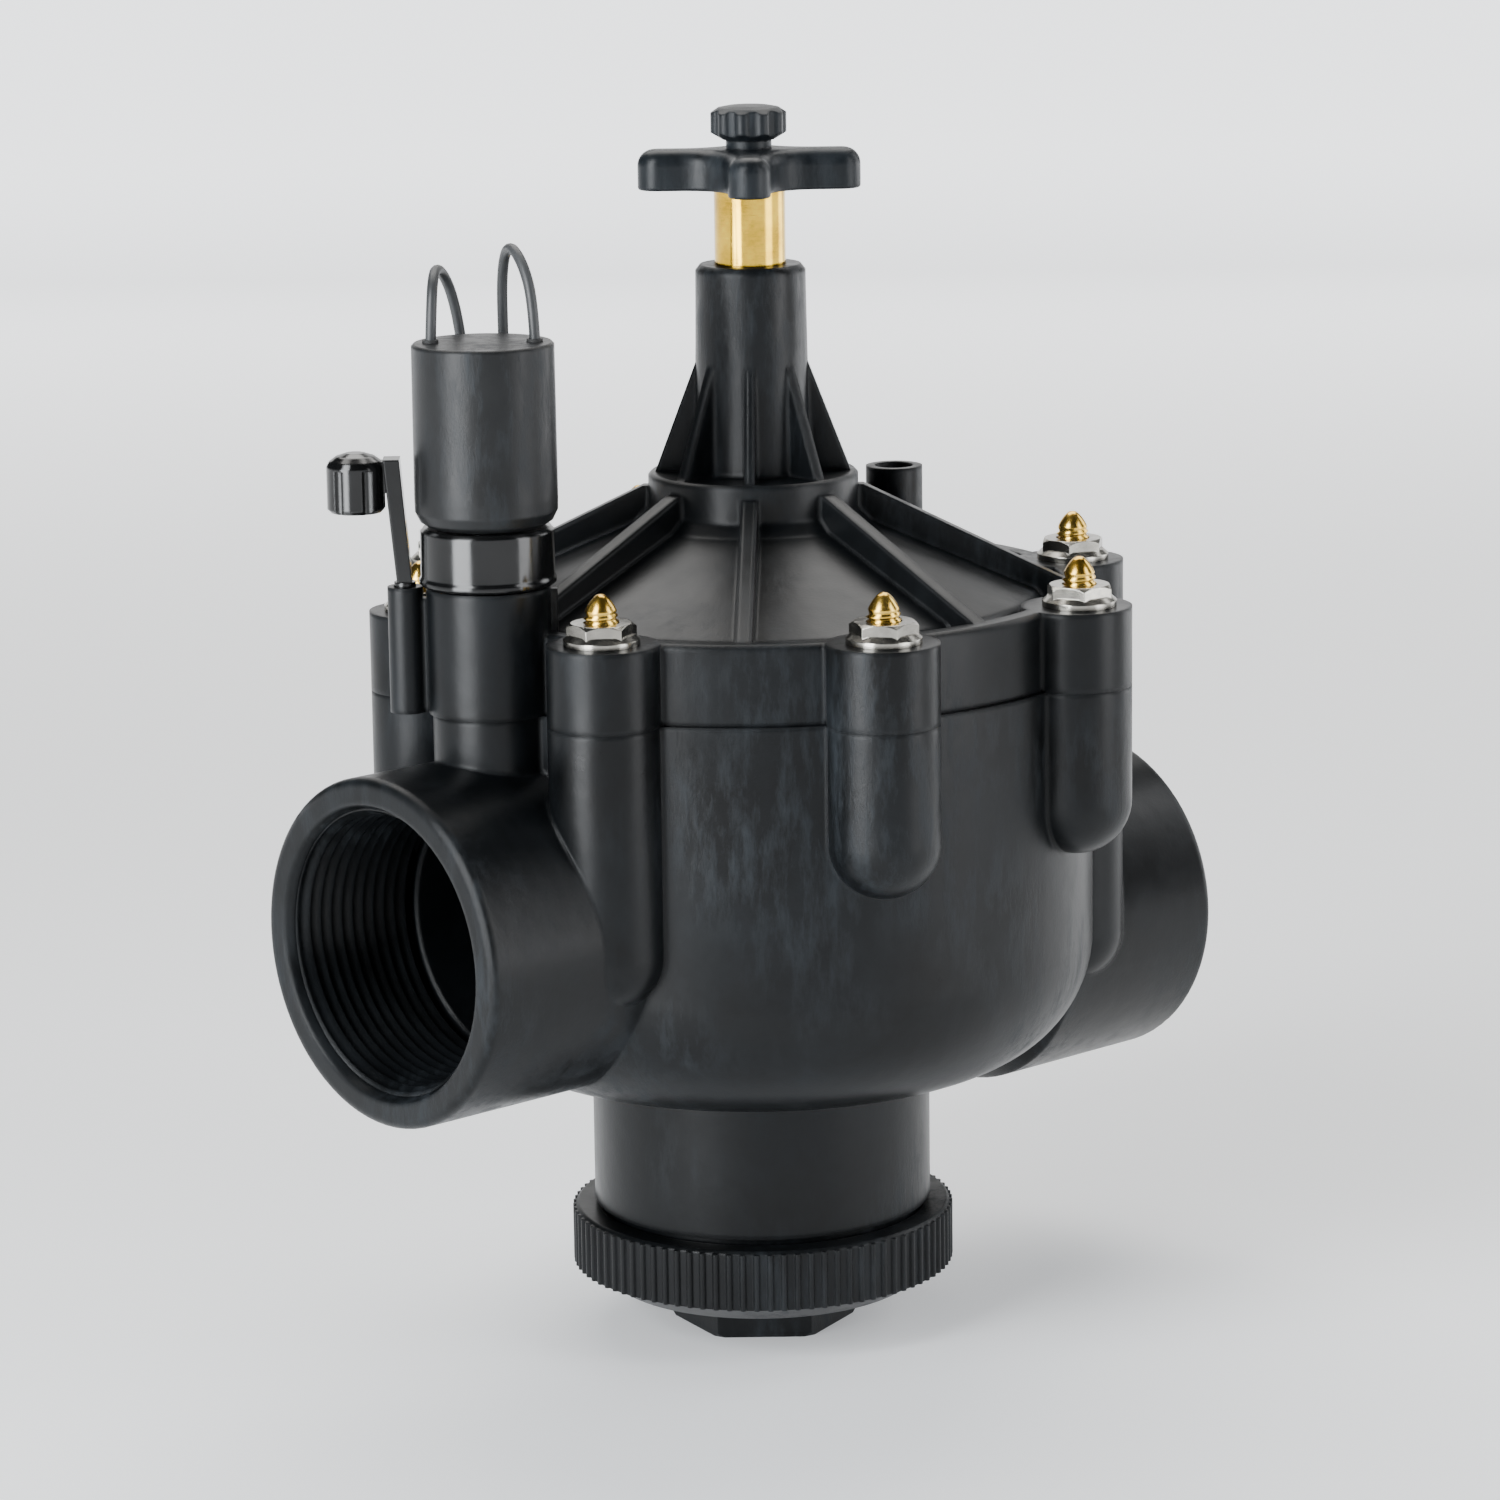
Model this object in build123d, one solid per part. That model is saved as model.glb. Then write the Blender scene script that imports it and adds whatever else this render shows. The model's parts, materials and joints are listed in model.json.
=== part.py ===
from build123d import *
import math
import os

os.makedirs("parts", exist_ok=True)

# The valve stands on its bottom cap. Z is the stem's axis, the pipe runs along X,
# the outlet is at -X and the inlet, which is lower, at +X. All sizes are in millimetres.

# ---- ports and sockets ----
face_to_centre = 85.6
socket_radius = 29.4
thread_radius = 24.1
thread_length = 26.0
mouth_radius = 25.0
mouth_depth = 1.6
socket_edge_radius = 1.5
outlet_z = 81.3
inlet_z = 63.2
outlet_passage_radius = 21.5
inlet_passage_radius = 16.0
inlet_passage_z = 68.0
inlet_duct_radius = 20.4
outlet_socket_root = 20.0
inlet_socket_root = (32.0, 50.0)
inlet_root_radius = 16.0

# ---- body bowl and neck ----
parting_z = 118.5
bowl_radius = 58.4
bowl_corner_radius = 22.0
bowl_floor_z = 48.3
bowl_wall = 5.6
bowl_corner_z = bowl_floor_z + bowl_corner_radius
neck_radius = 29.7
neck_shoulder_z = 22.6
spigot_radius = 28.3
spigot_foot_z = 12.6
neck_bore_radius = 24.6
neck_bore_top_z = 43.0
chamber_radius = bowl_radius - bowl_wall
seat_radius = 22.0
seat_wall = 4.4
seat_z = 104.5

# ---- bonnet clamp: bosses, studs and nuts ----
bolt_circle_radius = 60.1
boss_circle_radius = 59.6
boss_radius = 9.4
boss_count = 8
first_boss_angle = 22.5
boss_foot_z = 98.7
outlet_boss_foot_z = 80.0
inlet_boss_foot_z = 64.5
bonnet_rim_radius = 57.5
bonnet_rim_z = 132.0
stud_radius = 2.95
stud_hole_radius = 3.0
stud_clearance_radius = 3.4
stud_foot_z = 98.0
stud_top_z = 140.4
nut_width = 10.0
nut_top_z = 135.7
nut_washer_radius = 6.3
nut_washer_height = 1.5

# ---- bonnet cone and tower ----
cone_foot_radius = 48.5
cone_foot_z = 131.0
cone_top_radius = 18.1
cone_top_z = 144.0
ring_z = 151.8
tower_radius = 9.45
tower_top_z = 187.5
tower_root_radius = 9.9
rib_count = 8
rib_width = 2.8
rib_top_z = 149.4
rib_slope = 0.486
bonnet_wall = 4.4
spring_ceiling_z = 136.0
pad_radius = 5.0
pad_distance = 34.0
pad_top_z = 148.7

# ---- stem, insert and handle ----
stem_radius = 6.1
stem_bore_radius = 6.18
stem_thread_radius = 4.0
insert_bore_radius = 4.08
insert_radius = 7.4
insert_z = (142.0, 148.0)
foot_radius = 8.4
foot_pocket_radius = 9.4
foot_z = (136.6, 141.6)
stem_foot_z = 138.4
stem_shoulder_z = 159.5
handle_z = (200.3, 207.2)
handle_angle = 47.2
arm_length = 19.0
arm_width = 7.2
arm_blend = 8.0
knob_radius = 6.5
knob_z = (208.7, 214.4)
knob_lobes = 10

# ---- bottom cap ----
cap_radius = 33.1
cap_rib_height = 0.55
cap_rib_count = 88
cap_knurl_z = (11.0, 21.0)
cap_top_z = 21.5
cap_floor_z = 11.2
cap_bore_radius = 28.7
hex_corner_radius = 16.4
hex_angle = 47.2

# ---- diaphragm and seat assembly ----
seat_gap = 0.3
seat_disc_radius = 26.0
diaphragm_thickness = 2.4
diaphragm_centre_z = 108.4
diaphragm_rim_radius = 55.0
rim_recess_radius = 55.4
rim_recess_z = 116.0
plate_radius = 31.0

# ---- solenoid and pilot ----
solenoid_x = -60.0
pilot_radius = 10.3
pilot_top_z = 139.6
port_boss_foot_z = 104.0
adapter_radius = 11.1
adapter_lip = 0.25
adapter_top_z = 149.6
solenoid_radius = 11.85
solenoid_z = (149.9, 180.0)
plunger_radius = 3.75
tube_bore_radius = 3.85
tube_radius = 4.3
lead_offset = 8.55
grommet_top_z = 180.5

# ---- bleed ----
bleed_centre = (-69.9, 9.6)
bleed_boss_radius = 2.95
bleed_top_z = 139.6
grip_centre = (-75.6, 14.7)
grip_radius = 4.8

# ---- lead wires: each leaves the solenoid's top, arches back, crosses the bonnet's rim, hangs
# down behind the body and ends in a coil on the floor ----
lead_radius = 0.9
coil_radius = 10.5
coil_section = 3.7
coil_floor_z = 0.05
left_coil_centre = (57.3, 67.8)
right_coil_centre = (42.2, 39.8)
left_route = [
    (-66.2, 5.8, 181.5),
    (-65.8, 5.9, 185.4),
    (-64.3, 7.3, 189.3),
    (-61.3, 10.2, 191.3),
    (-57.8, 12.7, 190.5),
    (-54.4, 14.3, 186.4),
    (-52.1, 15.1, 179.6),
    (-50.0, 16.6, 170.8),
    (-46.2, 20.4, 161.0),
    (-40.5, 27.0, 152.0),
    (-32.0, 35.5, 145.6),
    (-22.5, 44.0, 142.0),
    (-13.6, 51.6, 139.6),
    (-9.7, 59.8, 137.2),
    (-8.4, 65.2, 129.5),
    (-7.4, 66.2, 116.0),
    (-4.6, 65.8, 98.5),
    (0.8, 65.0, 81.0),
    (7.6, 63.4, 63.0),
    (14.2, 60.8, 45.5),
    (19.6, 59.4, 29.0),
    (24.6, 61.2, 15.0),
    (32.0, 64.2, 5.2),
    (41.4, 64.8, 1.3),
    (50.2, 60.1, 0.95),
]
right_route = [
    (-53.7, -5.8, 181.5),
    (-53.6, -5.3, 186.8),
    (-53.1, -2.8, 191.9),
    (-51.7, 1.6, 194.8),
    (-49.7, 6.0, 193.6),
    (-48.0, 9.0, 188.2),
    (-46.7, 10.5, 180.4),
    (-45.0, 12.4, 171.2),
    (-41.4, 16.4, 161.8),
    (-35.6, 23.4, 153.0),
    (-27.2, 32.2, 146.4),
    (-18.2, 41.2, 142.2),
    (-9.6, 50.0, 139.4),
    (-5.6, 58.6, 137.2),
    (-4.0, 65.2, 130.0),
    (-2.8, 66.6, 116.0),
    (0.4, 66.2, 98.0),
    (6.0, 65.2, 80.0),
    (12.8, 62.8, 62.0),
    (19.2, 59.6, 44.5),
    (24.6, 57.0, 28.5),
    (30.6, 55.6, 14.0),
    (38.0, 53.8, 4.8),
    (44.2, 51.4, 1.3),
    (49.4, 47.5, 0.95),
]

# The direction square to the handle's arms, along which the leads leave the solenoid.
across_angle = -42.8
across = Vector(1, 0, 0).rotate(Axis.Z, across_angle)


def save(shape, node):
    shape.label = node
    export_step(shape, "parts/" + node + ".step")


def disc(radius, z_low, z_high, x=0.0, y=0.0):
    """A cylinder about a vertical axis, between two heights."""
    blank = Cylinder(radius, z_high - z_low, align=(Align.CENTER, Align.CENTER, Align.MIN))
    return Pos(x, y, z_low) * blank


def ring(outer, inner, z_low, z_high, x=0.0, y=0.0):
    return disc(outer, z_low, z_high, x, y) - disc(inner, z_low - 1, z_high + 1, x, y)


def rod_x(radius, x_low, x_high, z):
    """A cylinder along X, between two places."""
    blank = Cylinder(radius, x_high - x_low, align=(Align.CENTER, Align.CENTER, Align.MIN))
    return Pos(x_low, 0, z) * Rot(0, 90, 0) * blank


def cone_x(radius_low, radius_high, x_low, x_high, z):
    blank = Cone(radius_low, radius_high, x_high - x_low, align=(Align.CENTER, Align.CENTER, Align.MIN))
    return Pos(x_low, 0, z) * Rot(0, 90, 0) * blank


def turned(points, x=0.0, y=0.0):
    """A solid of revolution about a vertical axis, from (radius, height) corners."""
    outline = make_face(Polyline(*points, close=True))
    return Pos(x, y, 0) * revolve(Plane.XZ * outline, Axis.Z)


def torus(radius, wire, z, x=0.0, y=0.0):
    return Pos(x, y, z) * Torus(radius, wire)


def around(shape, count, first_angle=0.0):
    return [Rot(0, 0, first_angle + 360 / count * k) * shape for k in range(count)]


def hexagon(across_flats, z_low, z_high, x=0.0, y=0.0):
    sketch = RegularPolygon(across_flats / 2, 6, major_radius=False)
    return Pos(x, y, z_low) * extrude(sketch, z_high - z_low)


# ---- 1. the valve body ----
def rounded_bowl(side, corner_radius, corners):
    """A turned bowl whose side and floor meet in a round corner, closed by the given corners."""
    centre_x = side - corner_radius
    lean = corner_radius * math.sqrt(0.5)
    floor_end = (centre_x, bowl_corner_z - corner_radius)
    middle = (centre_x + lean, bowl_corner_z - lean)
    side_end = (side, bowl_corner_z)
    outline = ThreePointArc(floor_end, middle, side_end) + Polyline(side_end, *corners, floor_end)
    return revolve(Plane.XZ * make_face(outline), Axis.Z)


def bowl_solid():
    corners = [(bowl_radius, parting_z), (0, parting_z), (0, bowl_floor_z)]
    return rounded_bowl(bowl_radius, bowl_corner_radius, corners)


def boss_foot(angle):
    """The bosses beside a socket run down onto it, and the others end under the flange."""
    if abs(angle - 180) < 30:
        return outlet_boss_foot_z
    if abs(angle - 180) > 150:
        return inlet_boss_foot_z
    return boss_foot_z


def body_boss(angle):
    foot = boss_foot(angle)
    boss = disc(boss_radius, foot, parting_z, boss_circle_radius)
    dome = Pos(boss_circle_radius, 0, foot) * Sphere(boss_radius)
    return Rot(0, 0, angle) * (boss + dome)


def chamber_solid():
    """The ring-shaped outlet chamber round the seat tube, with the inlet duct left solid."""
    tube_outer = seat_radius + seat_wall
    corners = [
        (chamber_radius, 111.0),
        (50.0, 113.5),
        (50.0, parting_z + 1),
        (0, parting_z + 1),
        (0, seat_z),
        (tube_outer, seat_z),
        (tube_outer, bowl_floor_z + bowl_wall),
    ]
    chamber = rounded_bowl(chamber_radius, bowl_corner_radius - bowl_wall, corners)
    return chamber - rod_x(inlet_duct_radius, 0, 60, inlet_passage_z)


def port_cut(direction, z, passage_radius, passage_z, passage_end):
    """The threaded bore of a port with its mouth, and the passage behind it."""
    face = direction * face_to_centre
    thread_end = direction * (face_to_centre - thread_length)
    thread = rod_x(thread_radius, min(face, thread_end), max(face, thread_end), z)
    passage = rod_x(passage_radius, min(thread_end, passage_end), max(thread_end, passage_end), passage_z)
    mouth_end = face - direction * mouth_depth
    if direction < 0:
        mouth = cone_x(mouth_radius, thread_radius, face, mouth_end, z)
    else:
        mouth = cone_x(thread_radius, mouth_radius, mouth_end, face, z)
    return thread + passage + mouth


def socket(direction, root_x, z):
    """A socket's outside, with a rounded edge at its mouth."""
    face = direction * face_to_centre
    blank = rod_x(socket_radius, min(face, root_x), max(face, root_x), z)
    mouth_edge = blank.edges().filter_by(GeomType.CIRCLE).sort_by(Axis.X)[-1 if direction > 0 else 0]
    return fillet(mouth_edge, socket_edge_radius)


def pilot_fin(z_low, z_high):
    """The thin upright fin on the side of the pilot post."""
    fin = Pos(pilot_radius + 0.2, 0, z_low) * extrude(Rectangle(1.8, 1.5), z_high - z_low)
    return Pos(solenoid_x, 0, 0) * Rot(0, 0, across_angle) * fin


def valve_body():
    shell = bowl_solid()
    shell += socket(-1, -outlet_socket_root, outlet_z)
    root_start, root_end = inlet_socket_root
    shell += socket(1, root_end, inlet_z)
    shell += cone_x(inlet_root_radius, socket_radius, root_start, root_end, inlet_z)
    boss_angles = [first_boss_angle + 45 * k for k in range(boss_count)]
    for angle in boss_angles:
        shell += body_boss(angle)
    shell += disc(pilot_radius - 0.6, port_boss_foot_z, parting_z, solenoid_x)
    shell += pilot_fin(port_boss_foot_z + 3, parting_z)
    shell += disc(neck_radius, neck_shoulder_z, bowl_floor_z + 2)
    shell += disc(spigot_radius, spigot_foot_z, neck_shoulder_z + 1)
    shell -= chamber_solid()
    shell -= disc(rim_recess_radius, rim_recess_z, parting_z + 1)
    shell -= disc(neck_bore_radius, spigot_foot_z - 1, neck_bore_top_z)
    shell -= disc(seat_radius, neck_bore_top_z - 1, seat_z + 1)
    shell -= port_cut(-1, outlet_z, outlet_passage_radius, outlet_z, -35.0)
    shell -= port_cut(1, inlet_z, inlet_passage_radius, inlet_passage_z, 0.0)
    for angle in boss_angles:
        shell -= Rot(0, 0, angle) * disc(stud_hole_radius, stud_foot_z, parting_z + 1, bolt_circle_radius)
    return shell


# ---- 2. the bonnet ----
def bonnet_rib():
    inner = cone_top_radius - 1.5
    outer = 55.5
    top = [(inner, rib_top_z), (19.0, rib_top_z), (outer, rib_top_z - rib_slope * (outer - 19.0))]
    bottom = [(outer, 128.0), (cone_foot_radius - 2, 128.0), (inner, 142.0)]
    outline = make_face(Polyline(*(top + bottom), close=True))
    return Pos(0, rib_width / 2, 0) * extrude(Plane.XZ * outline, rib_width)


def tower_gusset():
    corners = [(8.5, 173.0), (9.5, 171.0), (16.9, 151.6), (16.9, 149.5), (8.5, 149.5)]
    outline = make_face(Polyline(*corners, close=True))
    return Pos(0, 0.9, 0) * extrude(Plane.XZ * outline, 1.8)


def bonnet():
    shell = turned(
        [
            (0, parting_z),
            (bonnet_rim_radius, parting_z),
            (bonnet_rim_radius, bonnet_rim_z - 0.7),
            (bonnet_rim_radius - 0.7, bonnet_rim_z),
            (53.9, bonnet_rim_z),
            (53.6, 128.6),
            (50.6, 128.6),
            (cone_foot_radius, cone_foot_z),
            (20.4, 143.2),
            (cone_top_radius, 145.4),
            (cone_top_radius, ring_z - 0.5),
            (cone_top_radius - 0.5, ring_z),
            (tower_root_radius + 0.6, ring_z),
            (tower_root_radius, ring_z + 0.6),
            (tower_radius, tower_top_z - 1.0),
            (tower_radius - 0.8, tower_top_z),
            (0, tower_top_z),
        ]
    )
    for angle in [first_boss_angle + 45 * k for k in range(boss_count)]:
        shell += Rot(0, 0, angle) * disc(boss_radius, parting_z, bonnet_rim_z, boss_circle_radius)
    for rib in around(bonnet_rib(), rib_count) + around(tower_gusset(), rib_count):
        shell += rib
    shell += disc(pad_radius, 130.0, pad_top_z, pad_distance)
    shell -= disc(pad_radius - 1.6, pad_top_z - 1.0, pad_top_z + 1, pad_distance)
    shell += disc(pilot_radius, parting_z, pilot_top_z, solenoid_x)
    shell += pilot_fin(parting_z, pilot_top_z - 0.6)
    shell += disc(bleed_boss_radius, parting_z, bleed_top_z, *bleed_centre)
    web = extrude(Rectangle(10.0, 2.6), bleed_top_z - parting_z - 2)
    shell += Pos(-65.0, 5.2, parting_z) * Rot(0, 0, 137) * web
    inside = turned(
        [
            (0, parting_z - 1),
            (50.0, parting_z - 1),
            (50.0, 124.0),
            (45.0, 127.6),
            (26.0, spring_ceiling_z),
            (0, spring_ceiling_z),
        ]
    )
    shell -= inside
    shell -= disc(foot_pocket_radius, spring_ceiling_z - 1, insert_z[0])
    shell -= disc(insert_radius + 0.02, insert_z[0] - 0.01, insert_z[1])
    shell -= disc(stem_bore_radius, insert_z[1] - 0.01, tower_top_z + 1)
    for angle in [first_boss_angle + 45 * k for k in range(boss_count)]:
        hole = disc(stud_clearance_radius, parting_z - 1, bonnet_rim_z + 2, bolt_circle_radius)
        shell -= Rot(0, 0, angle) * hole
    shell -= disc(7.6, pilot_top_z - 3.4, pilot_top_z + 1, solenoid_x)
    shell -= disc(1.2, parting_z + 2, pilot_top_z, solenoid_x)
    shell -= disc(1.9, 126.0, bleed_top_z + 1, *bleed_centre)
    return shell


# ---- 3. the clamp fasteners ----
def studs():
    stud = turned(
        [
            (0, stud_foot_z + 0.2),
            (stud_radius - 0.4, stud_foot_z + 0.2),
            (stud_radius, stud_foot_z + 0.6),
            (stud_radius, 137.6),
            (2.2, 138.6),
            (1.9, 139.6),
            (0.9, stud_top_z),
            (0, stud_top_z),
        ],
        bolt_circle_radius,
    )
    return Compound(around(stud, boss_count, first_boss_angle))


def nuts():
    washer_top = bonnet_rim_z + nut_washer_height
    nut = disc(nut_washer_radius, bonnet_rim_z, washer_top - 0.5, bolt_circle_radius)
    nut += Pos(bolt_circle_radius, 0, washer_top - 0.5) * Cone(
        nut_washer_radius, 5.4, 0.8, align=(Align.CENTER, Align.CENTER, Align.MIN)
    )
    head = hexagon(nut_width, bonnet_rim_z + 0.4, nut_top_z, bolt_circle_radius)
    crown = Pos(bolt_circle_radius, 0, bonnet_rim_z) * Cone(
        9.6, 5.0, nut_top_z - bonnet_rim_z, align=(Align.CENTER, Align.CENTER, Align.MIN)
    )
    nut += head & crown
    nut -= disc(stud_radius + 0.03, bonnet_rim_z - 1, nut_top_z + 1, bolt_circle_radius)
    return Compound(around(nut, boss_count, first_boss_angle))


# ---- 4. the bottom cap ----
def bottom_cap():
    cup = turned(
        [
            (0, 7.6),
            (27.0, 7.6),
            (cap_radius - 1.2, cap_knurl_z[0] - 0.4),
            (cap_radius, cap_knurl_z[0]),
            (cap_radius, cap_knurl_z[1]),
            (cap_radius - 0.5, cap_top_z),
            (cap_bore_radius + 0.4, cap_top_z),
            (cap_bore_radius, cap_top_z - 0.4),
            (cap_bore_radius, cap_floor_z),
            (0, cap_floor_z),
        ]
    )
    rib_height = cap_knurl_z[1] - cap_knurl_z[0]
    rib = Pos(cap_radius, 0, cap_knurl_z[0]) * extrude(Circle(cap_rib_height), rib_height)
    for knurl in around(rib, cap_rib_count):
        cup += knurl
    wrench = Rot(0, 0, hex_angle + 30) * extrude(RegularPolygon(hex_corner_radius, 6), 8.0)
    wrench &= Cone(15.8, 22.0, 8.0, align=(Align.CENTER, Align.CENTER, Align.MIN))
    cup += wrench
    cup += disc(22.0, cap_floor_z - 0.5, 16.0)
    return cup - disc(18.0, cap_floor_z, 17.0)


# ---- 5. diaphragm assembly ----
def diaphragm():
    low = diaphragm_centre_z
    top = low + diaphragm_thickness
    rim_low, rim_top = rim_recess_z, parting_z
    lower = [(4.3, low), (33.0, low), (40.0, low + 3.4), (47.5, rim_low), (diaphragm_rim_radius, rim_low)]
    upper = [(diaphragm_rim_radius, rim_top), (47.0, rim_top), (39.0, top + 4.0), (32.0, top), (4.3, top)]
    return turned(lower + upper)


def seat_disc():
    return ring(seat_disc_radius, 4.3, seat_z + seat_gap, diaphragm_centre_z)


def seat_retainer():
    blank = turned(
        [
            (4.3, 100.4),
            (17.0, 100.4),
            (18.5, 102.0),
            (18.5, seat_z + seat_gap),
            (4.3, seat_z + seat_gap),
        ]
    )
    return blank


def diaphragm_plate():
    low = diaphragm_centre_z + diaphragm_thickness
    return turned(
        [
            (4.3, low),
            (plate_radius, low),
            (plate_radius, low + 1.6),
            (plate_radius - 1.2, low + 2.8),
            (17.0, low + 2.8),
            (17.0, low + 4.4),
            (15.6, low + 4.4),
            (15.6, low + 2.6),
            (4.3, low + 2.6),
        ]
    )


def diaphragm_bolt():
    head = hexagon(13.0, 95.6, 100.4)
    return head + disc(4.2, 100.3, 117.2)


def diaphragm_nut():
    low = diaphragm_centre_z + diaphragm_thickness + 2.6
    return hexagon(13.0, low, low + 3.4) - disc(4.23, low - 1, low + 5)


def coil_spring(mean_radius, wire_radius, z_low, z_high, turns, x=0.0):
    height = z_high - z_low - 2 * wire_radius
    path = Helix(height / turns, height, mean_radius)
    section = Plane(path @ 0, z_dir=path % 0) * Circle(wire_radius)
    return Pos(x, 0, z_low + wire_radius) * sweep(section, path=path, is_frenet=True)


# ---- 6. stem and handle ----
def stem_insert():
    return ring(insert_radius, insert_bore_radius, *insert_z)


def flow_stem():
    return turned(
        [
            (0, stem_foot_z),
            (stem_thread_radius, stem_foot_z),
            (stem_thread_radius, stem_shoulder_z),
            (stem_radius - 0.4, stem_shoulder_z),
            (stem_radius, stem_shoulder_z + 0.4),
            (stem_radius, 170.0),
            (4.95, 170.0),
            (4.95, 171.5),
            (stem_radius, 171.5),
            (stem_radius, 174.0),
            (4.95, 174.0),
            (4.95, 175.5),
            (stem_radius, 175.5),
            (stem_radius, handle_z[0]),
            (3.0, handle_z[0]),
            (3.0, knob_z[0] + 3.0),
            (0, knob_z[0] + 3.0),
        ]
    )


def stem_o_rings():
    return Compound([torus(5.55, 0.58, 170.75), torus(5.55, 0.58, 174.75)])


def flow_stop_foot():
    foot = disc(foot_radius, *foot_z)
    return foot - disc(insert_bore_radius, stem_foot_z - 0.3, foot_z[1] + 1)


def cross_handle():
    height = handle_z[1] - handle_z[0]
    arm = SlotOverall(2 * arm_length, arm_width)
    outline = arm + Rot(0, 0, 90) * arm
    inner_corners = outline.vertices().sort_by_distance((0, 0, 0))[:4]
    outline = fillet(inner_corners, arm_blend)
    blank = extrude(outline, height)
    blank = fillet(blank.edges().group_by(Axis.Z)[-1], 2.8)
    blank = fillet(blank.edges().group_by(Axis.Z)[0], 0.5)
    blank = Pos(0, 0, handle_z[0]) * Rot(0, 0, handle_angle) * blank
    blank += disc(3.9, handle_z[1] - 1, knob_z[0])
    return blank - disc(3.02, handle_z[0] - 1, knob_z[1])


def handle_knob():
    low, high = knob_z
    knob = disc(knob_radius - 0.7, low, high)
    lobe = disc(1.35, low, high, knob_radius - 1.35)
    for piece in around(lobe, knob_lobes):
        knob += piece
    dome = turned(
        [
            (0, low),
            (4.4, low),
            (6.6, low + 1.3),
            (7.4, low + 1.8),
            (7.4, high - 2.4),
            (6.4, high - 1.1),
            (5.2, high - 0.3),
            (3.6, high),
            (0, high),
        ]
    )
    knob &= dome
    return knob - disc(3.02, low - 1, low + 3.2)


# ---- 7. pilot, solenoid and bleed ----
def pilot_seat():
    return ring(4.2, 0.8, pilot_top_z - 3.4, 144.0, solenoid_x) - ring(6, 1.6, 140.5, 145, solenoid_x)


def solenoid_adapter():
    foot = pilot_top_z + 0.4
    lip_radius = adapter_radius + adapter_lip
    body = turned(
        [
            (0, foot),
            (lip_radius - 0.4, foot),
            (lip_radius, foot + 0.4),
            (lip_radius, foot + 1.0),
            (adapter_radius, foot + 1.5),
            (adapter_radius, adapter_top_z - 0.6),
            (adapter_radius - 0.6, adapter_top_z),
            (0, adapter_top_z),
        ],
        solenoid_x,
    )
    body += disc(7.2, pilot_top_z - 2.6, pilot_top_z + 1, solenoid_x)
    body -= disc(5.4, pilot_top_z - 3, 146.4, solenoid_x)
    return body - disc(tube_radius + 0.03, 146, adapter_top_z + 1, solenoid_x)


def solenoid_housing():
    low, high = solenoid_z
    shell = turned(
        [
            (0, low),
            (9.8, low),
            (11.0, low + 0.8),
            (11.8, low + 2.4),
            (solenoid_radius, low + 4.6),
            (solenoid_radius - 0.1, high - 0.4),
            (solenoid_radius - 0.5, high),
            (0, high),
        ],
        solenoid_x,
    )
    shell -= disc(10.9, low + 1.6, high - 2.4, solenoid_x)
    return shell - disc(tube_radius + 0.03, low - 1, low + 2, solenoid_x)


def solenoid_yoke():
    low, high = 151.6, 177.5
    return ring(10.85, 10.0, low, high, solenoid_x) + ring(10.85, tube_radius + 0.05, high - 1.4, high, solenoid_x)


def coil_bobbin():
    low, high = 152.0, 176.0
    spool = ring(5.4, tube_radius + 0.05, low, high, solenoid_x)
    spool += ring(9.9, 5.3, low, low + 1.6, solenoid_x)
    return spool + ring(9.9, 5.3, high - 1.6, high, solenoid_x)


def solenoid_coil():
    return ring(9.4, 5.42, 153.65, 174.35, solenoid_x)


def core_tube():
    tube = ring(tube_radius, tube_bore_radius, 145.4, 176.0, solenoid_x)
    return tube + ring(5.3, tube_bore_radius, 145.4, 146.35, solenoid_x)


def solenoid_core():
    return disc(tube_bore_radius - 0.02, 166.6, 176.0, solenoid_x)


def solenoid_plunger():
    plunger = disc(plunger_radius, 146.6, 164.2, solenoid_x)
    plunger -= disc(2.1, 158.0, 165, solenoid_x)
    return plunger - disc(2.0, 146, 147.6, solenoid_x)


def plunger_seal():
    return disc(1.98, 144.3, 147.6, solenoid_x)


# ---- 8. bleed lever ----
def bleed_screw():
    x, y = bleed_centre
    screw = turned([(0, 126.4), (0.9, 126.4), (1.8, 128.0), (1.8, 136.4), (0, 136.4)], x, y)
    screw += disc(1.3, 136.3, 138.6, x, y)
    return screw + disc(1.8, 138.4, 140.4, x, y)


def bleed_lever():
    x, y = bleed_centre
    out = Vector(grip_centre[0] - x, grip_centre[1] - y, 0).normalized()
    lean = out * 1.7
    foot_plane = Plane(origin=(x, y, 140.4), x_dir=out, z_dir=(0, 0, 1))
    head_plane = Plane(origin=(x + lean.X, y + lean.Y, 161.0), x_dir=out, z_dir=(0, 0, 1))
    arm = loft([foot_plane * Rectangle(2.5, 3.2), head_plane * Rectangle(2.7, 4.6)])
    bridge = Plane(origin=(x + out.X * 4.0, y + out.Y * 4.0, 155.4), x_dir=out, z_dir=(0, 0, 1))
    arm += extrude(bridge * Rectangle(6.4, 3.0), 5.2)
    gx, gy = grip_centre
    grip = turned(
        [
            (0, 152.2),
            (grip_radius - 0.6, 152.2),
            (grip_radius, 152.8),
            (grip_radius, 159.8),
            (grip_radius - 0.5, 160.7),
            (grip_radius - 1.6, 161.5),
            (1.6, 162.0),
            (0, 162.0),
        ],
        gx,
        gy,
    )
    for angle in range(0, 360, 60):
        flute = disc(0.9, 151, 159.4, grip_radius + 0.15)
        grip -= Pos(gx, gy, 0) * Rot(0, 0, angle + 15) * flute
    return arm + grip


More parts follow.
